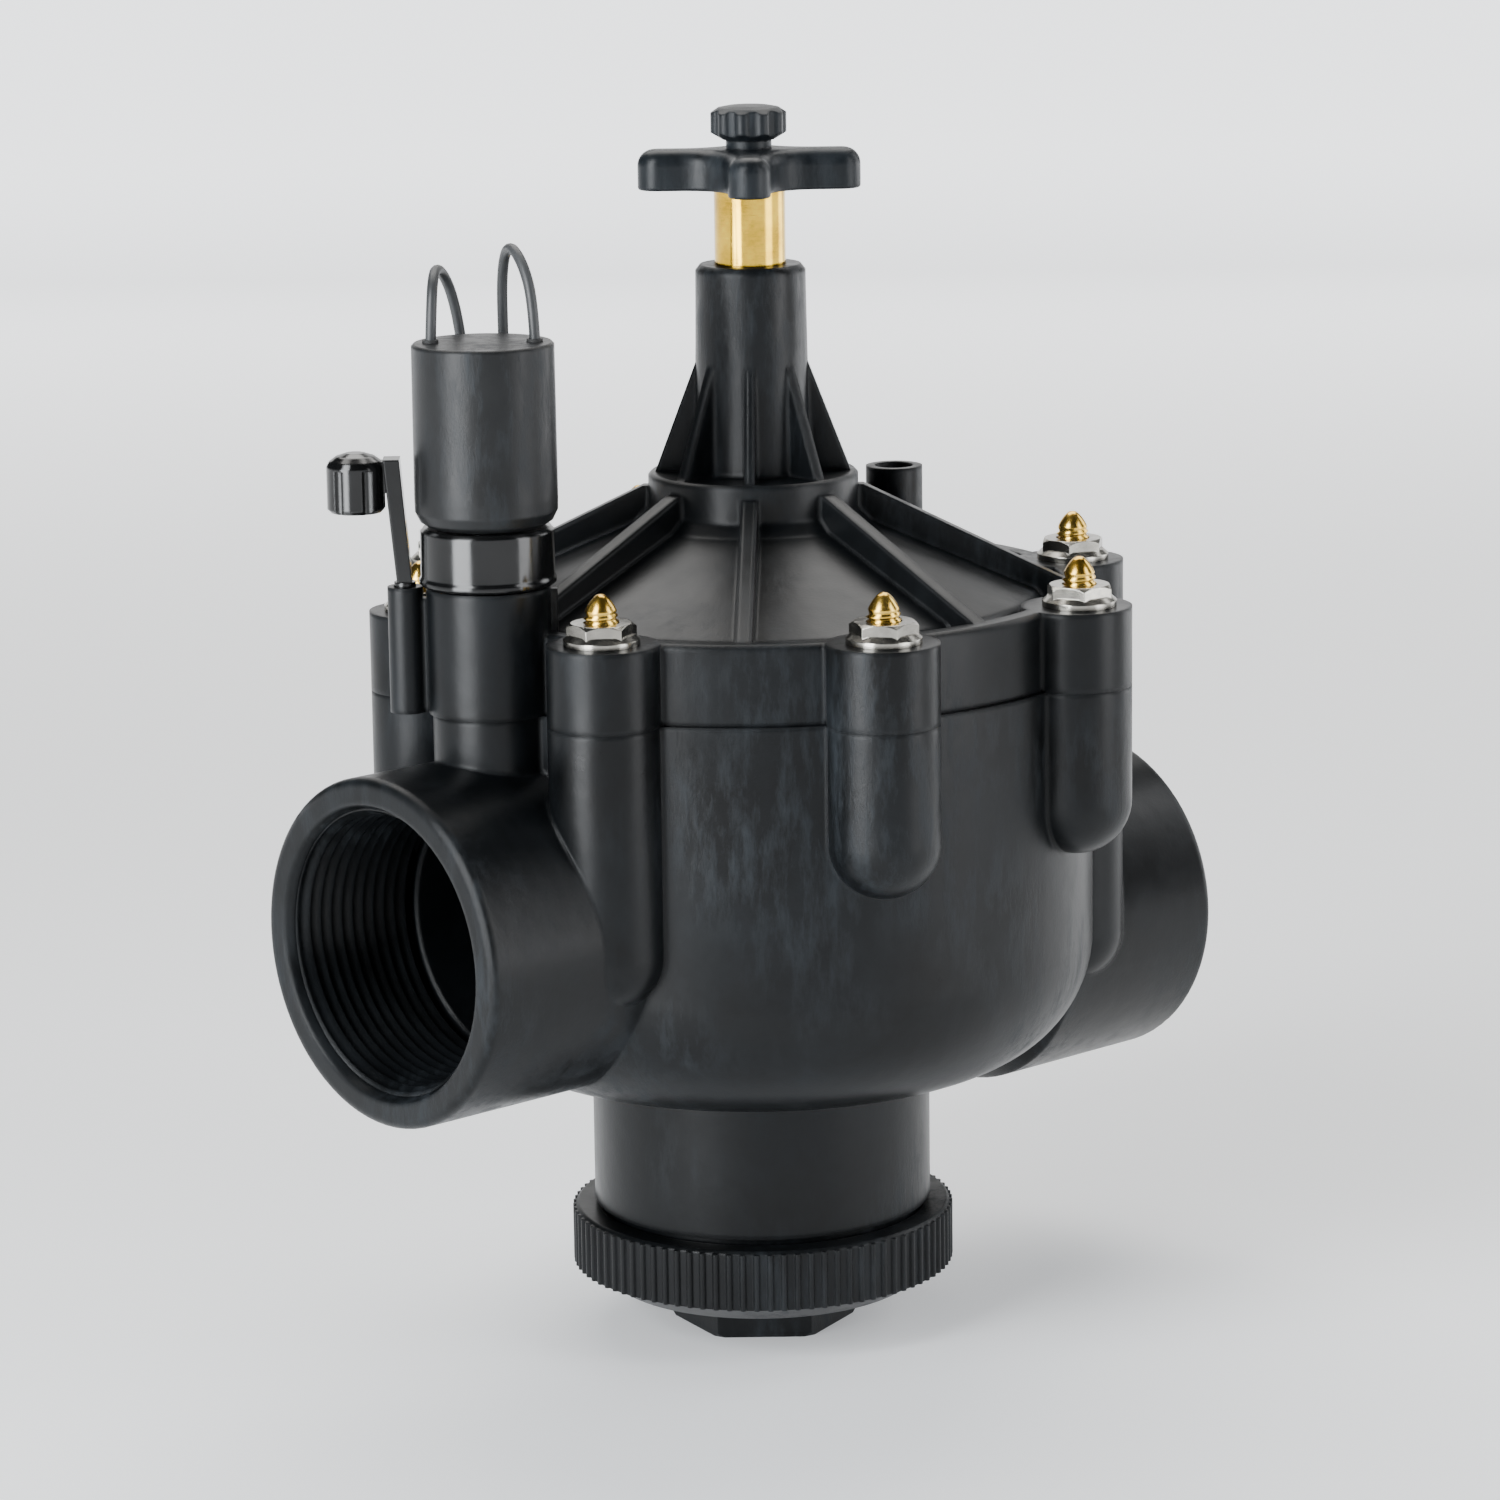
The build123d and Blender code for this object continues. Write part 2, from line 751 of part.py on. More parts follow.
# ---- 9. lead wires ----
def lead_radii(points, name):
    """Arc radii for straight runs joined by tangent arcs, each as large as its two runs allow."""
    radii = []
    for before, here, after in zip(points, points[1:], points[2:]):
        one, two = Vector(here) - Vector(before), Vector(after) - Vector(here)
        half_turn = math.radians(one.get_angle(two)) / 2
        radii.append(0.45 * min(one.length, two.length) / math.tan(half_turn))
    print(name, "arc radii", [round(radius, 1) for radius in radii])
    return radii


def lead_tube(points, name):
    route = FilletPolyline(*points, radius=lead_radii(points, name))
    section = Plane(route @ 0, z_dir=route % 0) * Circle(lead_radius)
    tube = sweep(section, path=route)
    expected = math.pi * lead_radius**2 * route.length
    print(name, "length", round(route.length, 1), "volume", round(tube.volume), "expected", round(expected))
    return tube


def lead_coil(centre):
    outer = coil_radius + coil_section / 2
    inner = coil_radius - coil_section / 2
    return ring(outer, inner, coil_floor_z, coil_floor_z + coil_section, *centre)


def grommets():
    seats = [across * (side * lead_offset) for side in (-1, 1)]
    rubber = [ring(1.35, 0.95, solenoid_z[1], grommet_top_z, solenoid_x + seat.X, seat.Y) for seat in seats]
    return Compound(rubber)


def build():
    save(valve_body(), "valve_body")
    save(bonnet(), "bonnet")
    save(studs(), "bonnet_studs")
    save(nuts(), "bonnet_nuts")
    save(bottom_cap(), "bottom_cap")
    save(torus(26.8, 0.7, 11.9), "bottom_cap_o_ring")
    save(diaphragm(), "diaphragm")
    save(seat_disc(), "seat_disc")
    save(seat_retainer(), "seat_retainer")
    save(diaphragm_plate(), "diaphragm_plate")
    save(diaphragm_bolt(), "diaphragm_bolt")
    save(diaphragm_nut(), "diaphragm_nut")
    save(coil_spring(13.6, 0.95, 113.5, spring_ceiling_z, 5), "main_spring")
    save(stem_insert(), "stem_insert")
    save(flow_stem(), "flow_stem")
    save(stem_o_rings(), "stem_o_rings")
    save(flow_stop_foot(), "flow_stop_foot")
    save(cross_handle(), "cross_handle")
    save(handle_knob(), "handle_knob")
    save(pilot_seat(), "pilot_seat")
    save(solenoid_adapter(), "solenoid_adapter")
    save(solenoid_housing(), "solenoid_housing")
    save(solenoid_yoke(), "solenoid_yoke")
    save(coil_bobbin(), "coil_bobbin")
    save(solenoid_coil(), "solenoid_coil")
    save(core_tube(), "core_tube")
    save(solenoid_core(), "solenoid_core")
    save(solenoid_plunger(), "solenoid_plunger")
    save(coil_spring(1.5, 0.25, 158.0, 166.6, 6, solenoid_x), "plunger_spring")
    save(plunger_seal(), "plunger_seal")
    save(bleed_screw(), "bleed_screw")
    save(bleed_lever(), "bleed_lever")
    save(grommets(), "lead_grommets")
    save(lead_tube(left_route, "left lead"), "lead_wire_left")
    save(lead_tube(right_route, "right lead"), "lead_wire_right")
    save(lead_coil(left_coil_centre), "lead_coil_left")
    save(lead_coil(right_coil_centre), "lead_coil_right")


build()
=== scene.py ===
import json
import math

import bmesh
import bpy
from mathutils import Matrix, Vector


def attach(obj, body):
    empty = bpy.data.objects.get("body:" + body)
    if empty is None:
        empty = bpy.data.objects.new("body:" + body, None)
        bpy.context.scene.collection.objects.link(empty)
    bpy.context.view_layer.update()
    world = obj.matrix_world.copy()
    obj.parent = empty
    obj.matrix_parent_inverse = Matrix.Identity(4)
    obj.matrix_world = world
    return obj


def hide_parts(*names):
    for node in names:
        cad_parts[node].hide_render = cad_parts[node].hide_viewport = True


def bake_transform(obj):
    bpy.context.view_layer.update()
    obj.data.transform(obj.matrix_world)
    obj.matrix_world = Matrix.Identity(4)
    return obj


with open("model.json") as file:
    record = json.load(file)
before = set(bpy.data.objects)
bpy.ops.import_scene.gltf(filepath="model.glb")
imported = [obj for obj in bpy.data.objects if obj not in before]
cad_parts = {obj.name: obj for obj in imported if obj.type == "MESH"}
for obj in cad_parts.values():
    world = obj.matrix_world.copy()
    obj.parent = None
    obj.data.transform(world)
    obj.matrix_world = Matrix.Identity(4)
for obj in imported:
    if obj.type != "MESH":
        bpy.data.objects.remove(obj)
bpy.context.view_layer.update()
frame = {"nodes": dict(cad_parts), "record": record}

MM = 0.001
nodes = frame["nodes"]


# ---- camera ----
CAMERA_AZIMUTH = math.radians(-42.807)
CAMERA_ELEVATION = math.radians(12.063)
CAMERA_ROLL = math.radians(-0.781)
CAMERA_DISTANCE = 0.91646
CAMERA_AIM = (-0.00118, 0.10246)
CAMERA_LENS = 126.23
SENSOR_WIDTH = 36


def camera_axes():
    """Right, up and back of the camera before its small roll."""
    right = Vector((math.cos(CAMERA_AZIMUTH), math.sin(CAMERA_AZIMUTH), 0))
    flat_back = Vector((math.sin(CAMERA_AZIMUTH), -math.cos(CAMERA_AZIMUTH), 0))
    back = flat_back * math.cos(CAMERA_ELEVATION) + Vector((0, 0, math.sin(CAMERA_ELEVATION)))
    return right, back.cross(right), back


def make_camera():
    right, up, back = camera_axes()
    place = right * CAMERA_AIM[0] + Vector((0, 0, CAMERA_AIM[1])) + back * CAMERA_DISTANCE
    rolled_right = right * math.cos(CAMERA_ROLL) + up * math.sin(CAMERA_ROLL)
    rolled_up = up * math.cos(CAMERA_ROLL) - right * math.sin(CAMERA_ROLL)
    turn = Matrix((rolled_right, rolled_up, back)).transposed().to_4x4()
    data = bpy.data.cameras.new("camera")
    data.lens = CAMERA_LENS
    data.sensor_width = SENSOR_WIDTH
    data.clip_start = 0.01
    data.clip_end = 60
    camera = bpy.data.objects.new("camera", data)
    camera.matrix_world = Matrix.Translation(place) @ turn
    bpy.context.scene.collection.objects.link(camera)
    bpy.context.scene.camera = camera


make_camera()


# ---- floor, world and lights ----
def light_direction(to_left, elevation):
    """A direction from the valve, turned to the camera's left by so many degrees."""
    right, _, _ = camera_axes()
    flat_back = Vector((math.sin(CAMERA_AZIMUTH), -math.cos(CAMERA_AZIMUTH), 0))
    flat = flat_back * math.cos(math.radians(to_left)) - right * math.sin(math.radians(to_left))
    rise = math.radians(elevation)
    return flat * math.cos(rise) + Vector((0, 0, math.sin(rise)))


def softbox(name, to_left, distance, height_range, width, radiance, colour, tilt):
    """A rectangular light that faces the valve, between two heights above the floor."""
    low, high = height_range
    data = bpy.data.lights.new(name, "AREA")
    data.shape = "RECTANGLE"
    data.size = width
    data.size_y = high - low
    data.energy = radiance * math.pi * width * (high - low)
    data.color = colour
    light = bpy.data.objects.new(name, data)
    flat = light_direction(to_left, 0)
    light.location = flat * distance + Vector((0, 0, (low + high) / 2))
    light.rotation_mode = "QUATERNION"
    facing = -light_direction(to_left, tilt)
    light.rotation_quaternion = facing.to_track_quat("-Z", "Y")
    light.visible_camera = False
    bpy.context.scene.collection.objects.link(light)


# Name, degrees to the camera's left, distance, height range, width, radiance, colour, downward tilt.
# The upright ones stand close and reach the floor, so that vertical walls mirror them as bands.
SOFTBOXES = (
    ("light_left", 43, 0.62, (0.004, 0.80), 0.31, 16.0, (0.94, 0.97, 1.0), 0),
    ("light_right", -64, 0.64, (0.004, 0.70), 0.26, 5.4, (0.97, 0.98, 1.0), 0),
    ("light_top", 176, 0.62, (0.75, 1.65), 1.20, 5.2, (1.0, 0.985, 0.96), 60),
    ("light_rim", -118, 0.70, (0.02, 0.75), 0.26, 4.0, (0.97, 0.98, 1.0), 0),
    ("light_back", 180, 1.40, (0.15, 0.95), 1.60, 1.5, (1.0, 1.0, 1.0), 14),
)
BACKDROP_STRENGTH = 2.4
FILL_STRENGTH = 0.04
FLOOR_RADIUS = 9.0
GLOW_FROM = 0.35
GLOW_TO = 2.2
NEAR_GLOW = 0.3
FAR_GLOW = 2.6


def make_world():
    """A bright backdrop for the camera alone, and a faint cool fill for everything else."""
    world = bpy.data.worlds.new("studio")
    world.use_nodes = True
    tree = world.node_tree
    backdrop = tree.nodes["Background"]
    backdrop.inputs["Color"].default_value = (0.95, 0.96, 0.97, 1)
    backdrop.inputs["Strength"].default_value = BACKDROP_STRENGTH
    fill = tree.nodes.new("ShaderNodeBackground")
    fill.inputs["Color"].default_value = (0.78, 0.84, 0.92, 1)
    fill.inputs["Strength"].default_value = FILL_STRENGTH
    path = tree.nodes.new("ShaderNodeLightPath")
    mix = tree.nodes.new("ShaderNodeMixShader")
    tree.links.new(path.outputs["Is Camera Ray"], mix.inputs[0])
    tree.links.new(fill.outputs[0], mix.inputs[1])
    tree.links.new(backdrop.outputs[0], mix.inputs[2])
    tree.links.new(mix.outputs[0], tree.nodes["World Output"].inputs["Surface"])
    bpy.context.scene.world = world


def make_floor():
    """A paper floor that glows more strongly away from the valve, so its edge can't be seen."""
    mesh = bpy.data.meshes.new("floor")
    shape = bmesh.new()
    bmesh.ops.create_circle(shape, cap_ends=True, radius=FLOOR_RADIUS, segments=96)
    shape.to_mesh(mesh)
    shape.free()
    floor = bpy.data.objects.new("floor", mesh)
    bpy.context.scene.collection.objects.link(floor)
    material = bpy.data.materials.new("floor_paper")
    material.use_nodes = True
    tree = material.node_tree
    shader = tree.nodes["Principled BSDF"]
    shader.inputs["Base Color"].default_value = (0.80, 0.81, 0.82, 1)
    shader.inputs["Roughness"].default_value = 0.9
    shader.inputs["Specular IOR Level"].default_value = 0.2
    shader.inputs["Emission Color"].default_value = (0.95, 0.97, 1.0, 1)
    reach = tree.nodes.new("ShaderNodeVectorMath")
    reach.operation = "LENGTH"
    tree.links.new(tree.nodes.new("ShaderNodeTexCoord").outputs["Object"], reach.inputs[0])
    glow = tree.nodes.new("ShaderNodeMapRange")
    glow.interpolation_type = "SMOOTHSTEP"
    glow.inputs["From Min"].default_value = GLOW_FROM
    glow.inputs["From Max"].default_value = GLOW_TO
    glow.inputs["To Min"].default_value = NEAR_GLOW
    glow.inputs["To Max"].default_value = FAR_GLOW
    tree.links.new(reach.outputs["Value"], glow.inputs["Value"])
    tree.links.new(glow.outputs[0], shader.inputs["Emission Strength"])
    mesh.materials.append(material)


make_world()
for box in SOFTBOXES:
    softbox(*box)
make_floor()


# ---- material building blocks ----
class Recipe:
    """A node material under construction, with short calls for the nodes that repeat."""

    def __init__(self, name):
        self.material = bpy.data.materials.new(name)
        self.material.use_nodes = True
        self.tree = self.material.node_tree
        self.shader = self.tree.nodes["Principled BSDF"]
        self.place = self.tree.nodes.new("ShaderNodeTexCoord").outputs["Object"]

    def set(self, **values):
        for key, value in values.items():
            self.shader.inputs[key.replace("_", " ")].default_value = value

    def node(self, kind, inputs=(), **settings):
        made = self.tree.nodes.new(kind)
        for key, value in settings.items():
            setattr(made, key, value)
        for key, value in dict(inputs).items():
            if isinstance(value, bpy.types.NodeSocket):
                self.tree.links.new(value, made.inputs[key])
            else:
                made.inputs[key].default_value = value
        return made

    def stretched(self, scale):
        return self.node("ShaderNodeMapping", {"Vector": self.place, "Scale": scale}).outputs[0]

    def noise(self, scale, detail=4.0, roughness=0.55, place=None, distortion=0.0):
        inputs = {
            "Vector": place or self.place,
            "Scale": scale,
            "Detail": detail,
            "Roughness": roughness,
            "Distortion": distortion,
        }
        return self.node("ShaderNodeTexNoise", inputs).outputs["Fac"]

    def ramp(self, value, low, high, at_low=0.0, at_high=1.0):
        inputs = {"Value": value, "From Min": low, "From Max": high, "To Min": at_low, "To Max": at_high}
        return self.node("ShaderNodeMapRange", inputs).outputs[0]

    def math(self, kind, one, two):
        return self.node("ShaderNodeMath", {0: one, 1: two}, operation=kind).outputs[0]

    def mix(self, share, one, two):
        made = self.node("ShaderNodeMix", data_type="RGBA")
        for key, value in ((0, share), (6, one), (7, two)):
            if isinstance(value, bpy.types.NodeSocket):
                self.tree.links.new(value, made.inputs[key])
            else:
                made.inputs[key].default_value = value
        return made.outputs[2]

    def bump(self, height, strength, distance, normal=None):
        inputs = {"Height": height, "Strength": strength, "Distance": distance}
        if normal is not None:
            inputs["Normal"] = normal
        return self.node("ShaderNodeBump", inputs).outputs[0]

    def soft_edges(self, radius):
        return self.node("ShaderNodeBevel", {"Radius": radius}, samples=4).outputs[0]

    def edge_share(self, bevel_normal):
        """0 on a flat face, rising to 1 on an edge."""
        flat = self.node("ShaderNodeNewGeometry").outputs["Normal"]
        dot = self.node("ShaderNodeVectorMath", {0: flat, 1: bevel_normal}, operation="DOT_PRODUCT")
        return self.ramp(dot.outputs["Value"], 0.995, 0.80, 0.0, 1.0)

    def use(self, key, socket):
        self.tree.links.new(socket, self.shader.inputs[key])


def grey(level, blue=0.0):
    return (level, level * (1 + blue * 0.5), level * (1 + blue), 1)


# ---- moulded plastics ----
SCUFF_COLOUR = grey(0.020, 0.45)
# Paler grey painted onto edges as a painted highlight.
PAINTED_EDGE_HIGHLIGHT = grey(0.026, 0.12)


def moulded_plastic(name, dark, light, rough, rough_spread, edge_radius, grain):
    """Satin moulded plastic: cloudy colour, scuffed patches, fine grain and softened edges, painted paler
    as a painted highlight.
    """
    recipe = Recipe(name)
    rounded = recipe.soft_edges(edge_radius)
    cloud = recipe.noise(42.0, 6.0, 0.66, distortion=0.8)
    streaks = recipe.noise(1.0, 7.0, 0.72, recipe.stretched((260, 260, 70)))
    scuffs = recipe.ramp(streaks, 0.47, 0.66)
    patches = recipe.ramp(recipe.noise(19.0, 2.0), 0.44, 0.58)
    scuffed = recipe.math("MULTIPLY", scuffs, patches)
    colour = recipe.mix(recipe.ramp(cloud, 0.3, 0.72), dark, light)
    colour = recipe.mix(recipe.math("MULTIPLY", scuffed, 0.6), colour, SCUFF_COLOUR)
    # Painted highlight: edges found by the bevel are mixed towards a paler grey, by an amount that varies
    # with the cloud.
    edges = recipe.math("MULTIPLY", recipe.edge_share(rounded), recipe.ramp(cloud, 0.35, 0.7, 0.1, 0.5))
    colour = recipe.mix(edges, colour, PAINTED_EDGE_HIGHLIGHT)
    recipe.use("Base Color", colour)
    roughness = recipe.ramp(cloud, 0.25, 0.75, rough - rough_spread, rough + rough_spread)
    roughness = recipe.math("ADD", roughness, recipe.math("MULTIPLY", scuffed, 0.20))
    recipe.use("Roughness", roughness)
    waves = recipe.bump(recipe.noise(58.0, 3.0), 0.34, 0.0006, rounded)
    dents = recipe.bump(scuffed, 0.25, 0.00012, waves)
    recipe.use("Normal", recipe.bump(recipe.noise(grain, 3.0), 0.12, 0.00012, dents))
    recipe.set(IOR=1.46, Specular_IOR_Level=0.25)
    return recipe.material


def body_plastic():
    dark, light = grey(0.0016, 0.2), grey(0.0048, 0.5)
    return moulded_plastic("body_plastic", dark, light, 0.33, 0.07, 0.0013, 1700.0)


def cap_plastic():
    dark, light = grey(0.0028, 0.2), grey(0.0060, 0.35)
    return moulded_plastic("cap_plastic", dark, light, 0.36, 0.07, 0.0005, 1700.0)


def handle_plastic():
    dark, light = grey(0.0040, 0.4), grey(0.0095, 0.7)
    return moulded_plastic("handle_plastic", dark, light, 0.35, 0.09, 0.0006, 1500.0)


def solenoid_plastic():
    dark, light = grey(0.0068, 0.06), grey(0.0115, 0.12)
    return moulded_plastic("solenoid_plastic", dark, light, 0.36, 0.06, 0.0006, 2000.0)


def bobbin_plastic():
    recipe = Recipe("bobbin_plastic")
    tint = recipe.mix(recipe.noise(120.0), (0.62, 0.61, 0.57, 1), (0.70, 0.69, 0.64, 1))
    recipe.use("Base Color", tint)
    recipe.use("Roughness", recipe.ramp(recipe.noise(300.0), 0.3, 0.7, 0.38, 0.55))
    recipe.use("Normal", recipe.bump(recipe.noise(1500.0), 0.1, 0.0001))
    return recipe.material


def gloss_black():
    recipe = Recipe("gloss_black")
    rounded = recipe.soft_edges(0.0005)
    cloud = recipe.noise(60.0, 3.0)
    recipe.use("Base Color", recipe.mix(cloud, grey(0.0018), grey(0.004, 0.1)))
    recipe.use("Roughness", recipe.ramp(recipe.noise(140.0), 0.3, 0.7, 0.10, 0.20))
    waves = recipe.bump(recipe.noise(55.0, 1.0), 0.12, 0.0004, rounded)
    recipe.use("Normal", recipe.bump(recipe.noise(1400.0), 0.03, 0.0001, waves))
    recipe.set(IOR=1.5)
    return recipe.material


def rubber():
    recipe = Recipe("rubber")
    cloud = recipe.noise(90.0)
    recipe.use("Base Color", recipe.mix(cloud, grey(0.012), grey(0.028)))
    recipe.use("Roughness", recipe.ramp(cloud, 0.3, 0.7, 0.55, 0.72))
    recipe.use("Normal", recipe.bump(recipe.noise(2200.0), 0.25, 0.0001))
    return recipe.material


def lead_insulation():
    """Soft lead insulation: dark grey with a faint sheen and small kinks in its surface."""
    recipe = Recipe("lead_insulation")
    cloud = recipe.noise(160.0, 4.0)
    recipe.use("Base Color", recipe.mix(cloud, grey(0.018, 0.08), grey(0.040, 0.12)))
    recipe.use("Roughness", recipe.ramp(cloud, 0.3, 0.7, 0.38, 0.55))
    recipe.use("Normal", recipe.bump(recipe.noise(900.0), 0.2, 0.0001))
    return recipe.material


# ---- metals ----
def metal(name, dark, light, low_rough, high_rough, lines, line_strength):
    """Turned or plated metal: fine tool lines round the axis, cloudy tarnish and softened edges."""
    recipe = Recipe(name)
    rounded = recipe.soft_edges(0.00025)
    cloud = recipe.noise(190.0, 4.0, 0.6)
    colour = recipe.mix(recipe.ramp(cloud, 0.3, 0.7), dark, light)
    recipe.use("Base Color", colour)
    recipe.use("Roughness", recipe.ramp(recipe.noise(420.0), 0.3, 0.7, low_rough, high_rough))
    cuts = recipe.noise(1.0, 4.0, 0.7, recipe.stretched((60, 60, lines)))
    recipe.use("Normal", recipe.bump(cuts, line_strength, 0.00008, rounded))
    recipe.set(Metallic=1.0)
    return recipe.material


def brass():
    return metal("brass", (0.40, 0.235, 0.018, 1), (0.70, 0.45, 0.050, 1), 0.08, 0.15, 5200, 0.14)


def stud_brass():
    return metal("stud_brass", (0.60, 0.34, 0.040, 1), (0.88, 0.60, 0.14, 1), 0.18, 0.30, 3000, 0.12)


def nut_steel():
    return metal("nut_steel", (0.27, 0.26, 0.235, 1), (0.47, 0.45, 0.40, 1), 0.17, 0.28, 900, 0.06)


def steel():
    return metal("steel", (0.45, 0.46, 0.47, 1), (0.66, 0.67, 0.68, 1), 0.22, 0.34, 2600, 0.2)


def copper():
    return metal("copper", (0.50, 0.22, 0.10, 1), (0.76, 0.40, 0.22, 1), 0.22, 0.32, 7000, 0.5)


RECIPES = (
    body_plastic,
    cap_plastic,
    handle_plastic,
    solenoid_plastic,
    gloss_black,
    bobbin_plastic,
    rubber,
    brass,
    stud_brass,
    nut_steel,
    steel,
    copper,
    lead_insulation,
)
materials = {recipe.__name__: recipe() for recipe in RECIPES}

for part in frame["record"]["subparts"]:
    mesh = nodes[part["node"]].data
    mesh.materials.clear()
    mesh.materials.append(materials[part["material_slot"]])


# ---- piece helpers ----
def finish_piece(name, mesh, slot, body=None):
    """Makes a smooth object of a mesh, gives it its slot's material and lets it ride on a body."""
    piece = bpy.data.objects.new(name, mesh)
    bpy.context.scene.collection.objects.link(piece)
    mesh.materials.append(materials[slot])
    for face in mesh.polygons:
        face.use_smooth = True
    if body:
        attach(piece, body)
    return piece


def mesh_of(name, points, faces):
    mesh = bpy.data.meshes.new(name)
    mesh.from_pydata([tuple(point) for point in points], [], faces)
    mesh.validate()
    return mesh


def strip_faces(rows, columns):
    """Quads between rows of points, each row holding the same number of points."""
    faces = []
    for row in range(rows - 1):
        for column in range(columns - 1):
            after = column + 1
            low = row * columns
            faces.append((low + column, low + after, low + columns + after, low + columns + column))
    return faces


LEAD_RADIUS = 0.9
COIL_RADIUS = 10.5
BUNDLE_RADIUS = 1.34
BUNDLE_Z = 2.29
POINTS_PER_TURN = 16

LEFT_ROUTE = [
    (-66.2, 5.8, 180.4),
    (-65.8, 5.9, 185.4),
    (-64.3, 7.3, 189.3),
    (-61.3, 10.2, 191.3),
    (-57.8, 12.7, 190.5),
    (-54.4, 14.3, 186.4),
    (-52.1, 15.1, 179.6),
    (-50.0, 16.6, 170.8),
    (-46.2, 20.4, 161.0),
    (-40.5, 27.0, 152.0),
    (-32.0, 35.5, 145.6),
    (-22.5, 44.0, 142.0),
    (-13.6, 51.6, 139.6),
    (-9.7, 59.8, 137.2),
    (-8.4, 65.2, 129.5),
    (-7.4, 66.2, 116.0),
    (-4.6, 65.8, 98.5),
    (0.8, 65.0, 81.0),
    (7.6, 63.4, 63.0),
    (14.2, 60.8, 45.5),
    (19.6, 59.4, 29.0),
    (24.6, 61.2, 15.0),
    (32.0, 64.2, 5.2),
    (41.4, 64.8, 1.3),
    (50.2, 60.1, 0.95),
]
RIGHT_ROUTE = [
    (-53.7, -5.8, 180.4),
    (-53.6, -5.3, 186.8),
    (-53.1, -2.8, 191.9),
    (-51.7, 1.6, 194.8),
    (-49.7, 6.0, 193.6),
    (-48.0, 9.0, 188.2),
    (-46.7, 10.5, 180.4),
    (-45.0, 12.4, 171.2),
    (-41.4, 16.4, 161.8),
    (-35.6, 23.4, 153.0),
    (-27.2, 32.2, 146.4),
    (-18.2, 41.2, 142.2),
    (-9.6, 50.0, 139.4),
    (-5.6, 58.6, 137.2),
    (-4.0, 65.2, 130.0),
    (-2.8, 66.6, 116.0),
    (0.4, 66.2, 98.0),
    (6.0, 65.2, 80.0),
    (12.8, 62.8, 62.0),
    (19.2, 59.6, 44.5),
    (24.6, 57.0, 28.5),
    (30.6, 55.6, 14.0),
    (38.0, 53.8, 4.8),
    (44.2, 51.4, 1.3),
    (49.4, 47.5, 0.95),
]


def coil_points(centre, start, sense, count):
    """Points of a neat coil: each turn lies a quarter of the way round the bundle from the last."""
    first = math.atan2(start[1] - centre[1], start[0] - centre[0])
    points = []
    for step in range(1, count + 1):
        turn = step / POINTS_PER_TURN
        angle = first + sense * 2 * math.pi * turn
        round_bundle = math.radians(90 * (turn - 1))
        radius = COIL_RADIUS + BUNDLE_RADIUS * math.cos(round_bundle)
        height = BUNDLE_Z + BUNDLE_RADIUS * math.sin(round_bundle)
        points.append((centre[0] + radius * math.cos(angle), centre[1] + radius * math.sin(angle), height))
    return points


def nurbs_object(name, route, thickness):
    curve = bpy.data.curves.new(name, "CURVE")
    curve.dimensions = "3D"
    curve.resolution_u = 6
    spline = curve.splines.new("NURBS")
    spline.points.add(len(route) - 1)
    for point, place in zip(spline.points, route):
        point.co = (place[0] * MM, place[1] * MM, place[2] * MM, 1)
    spline.order_u = 3
    spline.use_endpoint_u = True
    curve.bevel_depth = thickness
    curve.bevel_resolution = 4
    curve.use_fill_caps = thickness > 0
    return bpy.data.objects.new(name, curve)


def lead_wire(name, route, centre, sense, count, replaced):
    """One lead from the solenoid's top to its tied coil on the floor behind the valve."""
    points = route + coil_points(centre, route[-1], sense, count)
    line = nurbs_object(name + "_line", points, 0)
    path = [vertex.co.copy() for vertex in bpy.data.meshes.new_from_object(line).vertices]
    tube = bpy.data.meshes.new_from_object(nurbs_object(name + "_tube", points, LEAD_RADIUS * MM))
    tube.name = name
    lead = finish_piece(name, tube, "lead_insulation")
    tie = coil_tie(name + "_tie", centre, route[-1], sense)
    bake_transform(lead)
    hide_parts(*replaced)


TIE_STEPS = 28
TIE_LOWEST = 0.08
# Distance along the coil from the tie's middle, and height above the bundle.
TIE_PROFILE = [(-0.9, 0.0), (-0.75, 0.32), (0.75, 0.32), (0.9, 0.0)]


def coil_tie(name, centre, start, sense):
    """A flat band round the bundle, half a turn on from where the lead comes in."""
    first = math.atan2(start[1] - centre[1], start[0] - centre[0]) + sense * math.pi * 0.9
    outward = Vector((math.cos(first), math.sin(first), 0))
    along = Vector((-math.sin(first), math.cos(first), 0))
    middle = Vector((centre[0], centre[1], BUNDLE_Z)) + outward * COIL_RADIUS
    points = []
    for step in range(TIE_STEPS):
        angle = 2 * math.pi * step / TIE_STEPS
        around = outward * math.cos(angle) + Vector((0, 0, math.sin(angle)))
        for shift, rise in TIE_PROFILE:
            reach = BUNDLE_RADIUS + LEAD_RADIUS + rise
            place = middle + around * reach + along * shift
            place.z = max(place.z, TIE_LOWEST)
            points.append(place * MM)
    faces = []
    for step in range(TIE_STEPS):
        here = step * len(TIE_PROFILE)
        there = (step + 1) % TIE_STEPS * len(TIE_PROFILE)
        for side in range(len(TIE_PROFILE)):
            after = (side + 1) % len(TIE_PROFILE)
            faces.append((here + side, here + after, there + after, there + side))
    return finish_piece(name, mesh_of(name, points, faces), "rubber", "valve")


LEFT_COIL_CENTRE = (57.3, 67.8)
LEFT_COIL_POINTS = 44
RIGHT_COIL_CENTRE = (42.2, 39.8)
RIGHT_COIL_POINTS = 43
LEFT_SOLIDS = ["lead_wire_left", "lead_coil_left"]
RIGHT_SOLIDS = ["lead_wire_right", "lead_coil_right"]

lead_wire("lead_left", LEFT_ROUTE, LEFT_COIL_CENTRE, 1, LEFT_COIL_POINTS, LEFT_SOLIDS)
lead_wire("lead_right", RIGHT_ROUTE, RIGHT_COIL_CENTRE, -1, RIGHT_COIL_POINTS, RIGHT_SOLIDS)


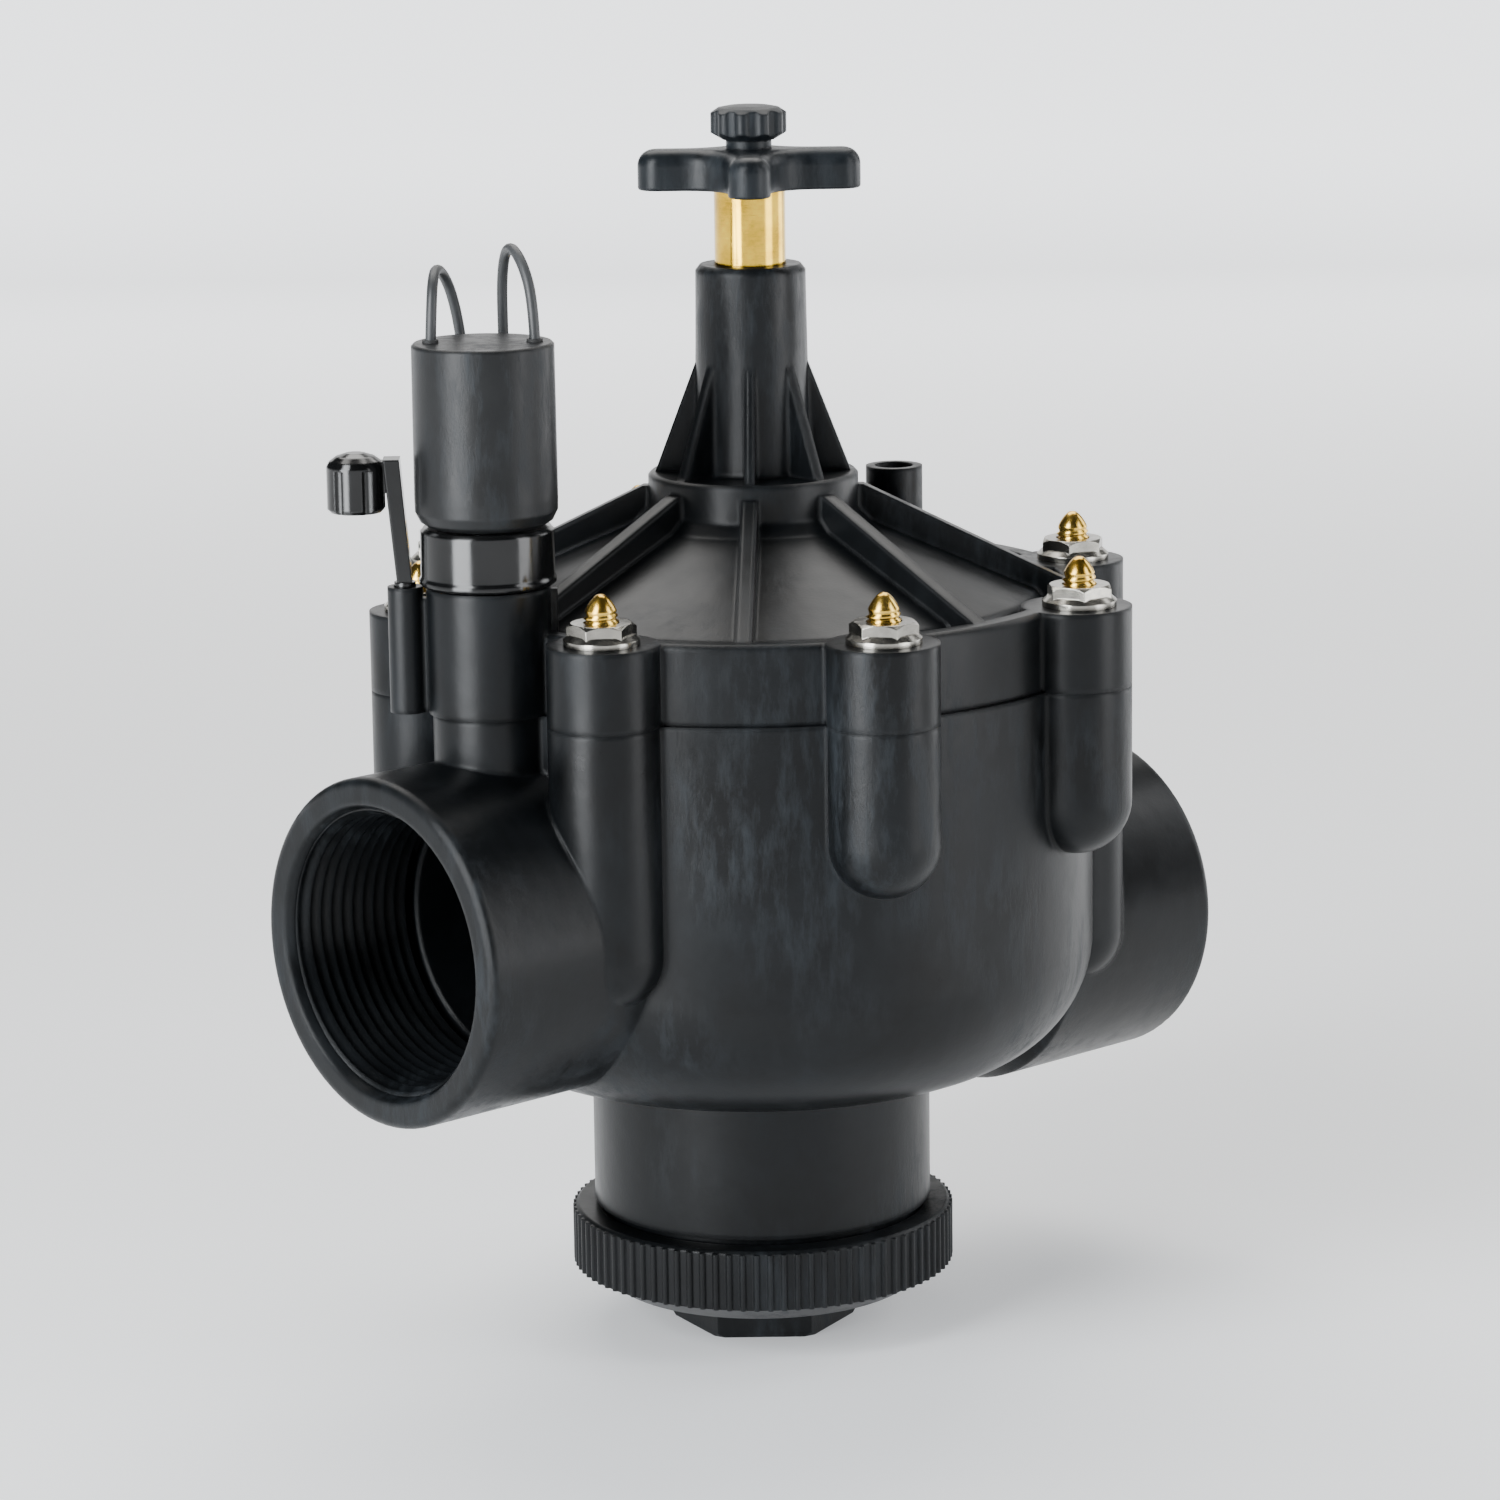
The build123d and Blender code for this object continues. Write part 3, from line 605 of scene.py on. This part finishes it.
# ---- pipe threads in both sockets ----
THREAD_PITCH = 25.4 / 11.5
THREAD_ROOT = 24.06
THREAD_DEPTH = 1.15
THREAD_LENGTH = 23.2
THREAD_TAPER = 1 / 32
MOUTH_DEPTH = 1.8
FACE = 85.6
STEPS_ROUND = 96
# Share of the pitch and share of the depth, from root to crest and back.
THREAD_FORM = [(0.0, 0.0), (0.08, 0.0), (0.44, 1.0), (0.56, 1.0), (0.92, 0.0)]


OUTLET_HEIGHT = 81.3
INLET_HEIGHT = 63.2


def pipe_thread(name, side, height):
    """A right-handed tapered thread as one ribbon of ridges that follows the helix."""
    form_count = len(THREAD_FORM)
    turns = int(THREAD_LENGTH / THREAD_PITCH) + 2
    points = []
    for step in range(STEPS_ROUND + 1):
        share = step / STEPS_ROUND
        angle = 2 * math.pi * share
        for turn in range(-1, turns):
            for along, rise in THREAD_FORM:
                deep = (turn + along + share) * THREAD_PITCH
                kept = min(max(deep, 0.0), THREAD_LENGTH)
                fade = min(kept / THREAD_PITCH + 0.25, 1.0)
                radius = THREAD_ROOT - kept * THREAD_TAPER - rise * fade * THREAD_DEPTH
                x = side * (FACE - MOUTH_DEPTH - kept)
                y = side * radius * math.cos(angle)
                points.append((x * MM, y * MM, (height + radius * math.sin(angle)) * MM))
    columns = (turns + 1) * form_count
    mesh = mesh_of(name, points, strip_faces(STEPS_ROUND + 1, columns))
    return finish_piece(name, mesh, "body_plastic", "valve")


pipe_thread("outlet_thread", -1, OUTLET_HEIGHT)
pipe_thread("inlet_thread", 1, INLET_HEIGHT)


# ---- studs with real threads and bullet tips ----
BOLT_CIRCLE = 60.1
BOSS_COUNT = 8
FIRST_BOSS = 22.5
STUD_RADIUS = 2.95
STUD_THREAD_TOP = 137.5
STUD_PITCH = 1.0
STUD_FOOT = 129.0
STUD_RUNOUT = 0.5
STUD_STEPS = 32
# Share of the pitch and depth of the groove, in millimetres.
STUD_FORM = [(0.0, 0.0), (0.4, 0.55), (0.6, 0.55)]
# Radius and height of each ring of the tip.
STUD_TIP = [
    (2.6, 137.6),
    (2.5, 137.9),
    (2.2, 138.5),
    (1.75, 139.2),
    (1.2, 139.85),
    (0.65, 140.28),
    (0.02, 140.4),
]


def stud_points(centre_x, centre_y):
    """Rows round the stud's axis: a helical thread below, a smooth bullet tip above."""
    turns = int((STUD_THREAD_TOP - STUD_FOOT) / STUD_PITCH)
    rows = []
    for step in range(STUD_STEPS + 1):
        share = step / STUD_STEPS
        angle = 2 * math.pi * share
        profile = []
        for turn in range(turns):
            for along, depth in STUD_FORM:
                height = min(STUD_FOOT + (turn + along + share) * STUD_PITCH, STUD_THREAD_TOP)
                ending = min((STUD_THREAD_TOP - height) / STUD_PITCH, 1.0)
                radius = STUD_RADIUS - depth * ending - STUD_RUNOUT * (1 - ending)
                profile.append((radius, height))
        for radius, height in profile + STUD_TIP:
            x = centre_x + radius * math.cos(angle)
            y = centre_y + radius * math.sin(angle)
            rows.append((x * MM, y * MM, height * MM))
    return rows, turns * len(STUD_FORM) + len(STUD_TIP)


def make_studs():
    points = []
    faces = []
    for boss in range(BOSS_COUNT):
        angle = math.radians(FIRST_BOSS + 360 / BOSS_COUNT * boss)
        rows, columns = stud_points(BOLT_CIRCLE * math.cos(angle), BOLT_CIRCLE * math.sin(angle))
        start = len(points)
        points += rows
        faces += [tuple(start + corner for corner in face) for face in strip_faces(STUD_STEPS + 1, columns)]
    finish_piece("stud_threads", mesh_of("stud_threads", points, faces), "stud_brass", "valve")


make_studs()
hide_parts("bonnet_studs")
